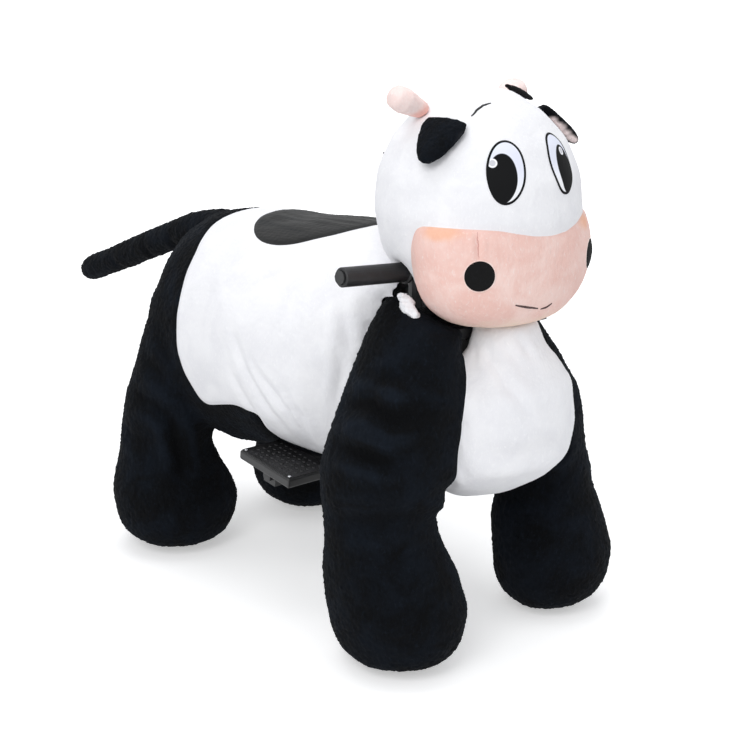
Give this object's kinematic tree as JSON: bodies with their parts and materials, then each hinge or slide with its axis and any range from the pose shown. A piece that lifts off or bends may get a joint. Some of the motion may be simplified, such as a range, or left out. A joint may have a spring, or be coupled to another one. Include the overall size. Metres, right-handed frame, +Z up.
{
  "type": "coin-operated animal ride",
  "caption": "Battery ride shaped as a stuffed plush cow: a rider sits astride, steers by a handlebar behind the head and rolls on wheels hidden in the plush feet.",
  "frame": {"origin": "on the floor, under the middle of the ride's length (nose to tail tip) and of its width", "axes": "+X towards the cow's left, -Y the way the cow faces, +Z up"},
  "size_m": [0.568, 1.372, 0.907],
  "materials": {
    "black_plush": "short-pile plush, very dark navy black",
    "white_plush": "short-pile plush, cool white",
    "pink_plush": "short-pile plush, salmon pink with orange tints at the corners",
    "cream_plush": "short-pile plush, pale pink",
    "seat_fabric": "stretch satin, dark grey, slightly shiny",
    "eye_felt": "printed felt, pale lilac",
    "black_paint": "black powder coat on steel",
    "zinc_steel": "zinc plated",
    "chrome": "polished",
    "rubber": "matt black",
    "plywood": "bare birch plywood",
    "black_plastic": "moulded, fine grain",
    "red_plastic": "gloss",
    "yellow_plastic": "gloss"
  },
  "bodies": {
    "chassis": {"head_tube": "black_paint", "upper_bearing": "chrome", "lower_bearing": "chrome", "spine_tube": "black_paint", "rear_crossmember": "black_paint", "rear_blade_right": "black_paint", "rear_blade_left": "black_paint", "gearbox": "black_plastic", "drive_motor": "zinc_steel", "seat_riser": "black_paint", "seat_board": "plywood", "battery_tray": "black_paint", "battery": "black_plastic", "drive_controller": "zinc_steel", "pedal_bar": "black_paint", "footrest_left": "black_plastic", "torso_plush": "white_plush", "rump_plush": "black_plush", "seat_pad": "seat_fabric", "tail_plush": "black_plush", "rear_leg_plush_right": "black_plush", "rear_leg_plush_left": "black_plush", "shoulder_gusset": "white_plush", "rear_axle_left": "zinc_steel"},
    "steering_column": {"fork_crown": "black_paint", "fork_blade_right": "black_paint", "fork_blade_left": "black_paint", "steerer_tube": "zinc_steel", "top_yoke": "black_paint", "handlebar": "zinc_steel", "grip_right": "rubber", "grip_left": "rubber", "head_post": "black_paint", "control_box": "black_plastic", "chest_plush": "white_plush", "muzzle_plush": "pink_plush", "head_plush": "white_plush", "eye_right": "eye_felt", "eye_left": "eye_felt", "ear_right": "black_plush", "ear_left": "black_plush", "horn_right": "cream_plush", "horn_left": "cream_plush", "front_leg_plush_right": "black_plush", "front_leg_plush_left": "black_plush", "front_axle_right": "zinc_steel", "front_axle_left": "zinc_steel"},
    "front_wheel_right": {"front_wheel_right": "rubber"},
    "front_wheel_left": {"front_wheel_left": "rubber"},
    "rear_wheel_right": {"rear_wheel_right": "rubber", "rear_axle_right": "zinc_steel"},
    "rear_wheel_left": {"rear_wheel_left": "rubber"},
    "accelerator_pedal": {"accelerator_pedal": "black_plastic"},
    "control_door": {"control_door": "zinc_steel", "coin_acceptor": "black_plastic"},
    "start_button": {"start_button": "red_plastic"},
    "music_button": {"music_button": "yellow_plastic"},
    "coin_return_button": {"coin_return_button": "red_plastic"},
    "coin_return_flap": {"coin_return_flap": "chrome"},
    "door_lock": {"door_lock": "chrome"}
  },
  "joints": [
    {"name": "steering_turn", "type": "hinge", "parent": "chassis", "child": "steering_column", "pos_m": [0, -0.536, 0.065], "axis": [0, 0, 1], "range_deg": [-25, 25], "deforming": ["shoulder_gusset"]},
    {"name": "front_wheel_right_spin", "type": "hinge", "parent": "steering_column", "child": "front_wheel_right", "pos_m": [-0.18, -0.536, 0.065], "axis": [1, 0, 0], "continuous": true},
    {"name": "front_wheel_left_spin", "type": "hinge", "parent": "steering_column", "child": "front_wheel_left", "pos_m": [0.18, -0.536, 0.065], "axis": [1, 0, 0], "continuous": true},
    {"name": "rear_wheel_right_spin", "type": "hinge", "parent": "chassis", "child": "rear_wheel_right", "pos_m": [-0.17, 0.114, 0.065], "axis": [1, 0, 0], "continuous": true},
    {"name": "rear_wheel_left_spin", "type": "hinge", "parent": "chassis", "child": "rear_wheel_left", "pos_m": [0.17, 0.114, 0.065], "axis": [1, 0, 0], "continuous": true},
    {"name": "accelerator_press", "type": "hinge", "parent": "chassis", "child": "accelerator_pedal", "pos_m": [0, -0.236, 0.236], "axis": [1, 0, 0], "range_deg": [0, 8], "stiffness_Nm_per_rad": 8, "springref_deg": -5.73},
    {"name": "control_door_swing", "type": "hinge", "parent": "steering_column", "child": "control_door", "pos_m": [0.0635, -0.3667, 0.725], "axis": [0, 0, -1], "range_deg": [0, 100]},
    {"name": "start_button_press", "type": "slide", "parent": "control_door", "child": "start_button", "axis": [0, -1, 0], "range_m": [0, 0.003], "stiffness_N_per_m": 300, "springref_m": -0.004},
    {"name": "music_button_press", "type": "slide", "parent": "control_door", "child": "music_button", "axis": [0, -1, 0], "range_m": [0, 0.003], "stiffness_N_per_m": 300, "springref_m": -0.004},
    {"name": "coin_return_button_press", "type": "slide", "parent": "control_door", "child": "coin_return_button", "axis": [0, -1, 0], "range_m": [0, 0.003], "stiffness_N_per_m": 300, "springref_m": -0.004},
    {"name": "coin_return_flap_swing", "type": "hinge", "parent": "control_door", "child": "coin_return_flap", "pos_m": [0.029, -0.3644, 0.7112], "axis": [-1, 0, 0], "range_deg": [0, 60]},
    {"name": "door_lock_turn", "type": "hinge", "parent": "control_door", "child": "door_lock", "pos_m": [-0.044, -0.3667, 0.689], "axis": [0, -1, 0], "range_deg": [0, 90]}
  ]
}
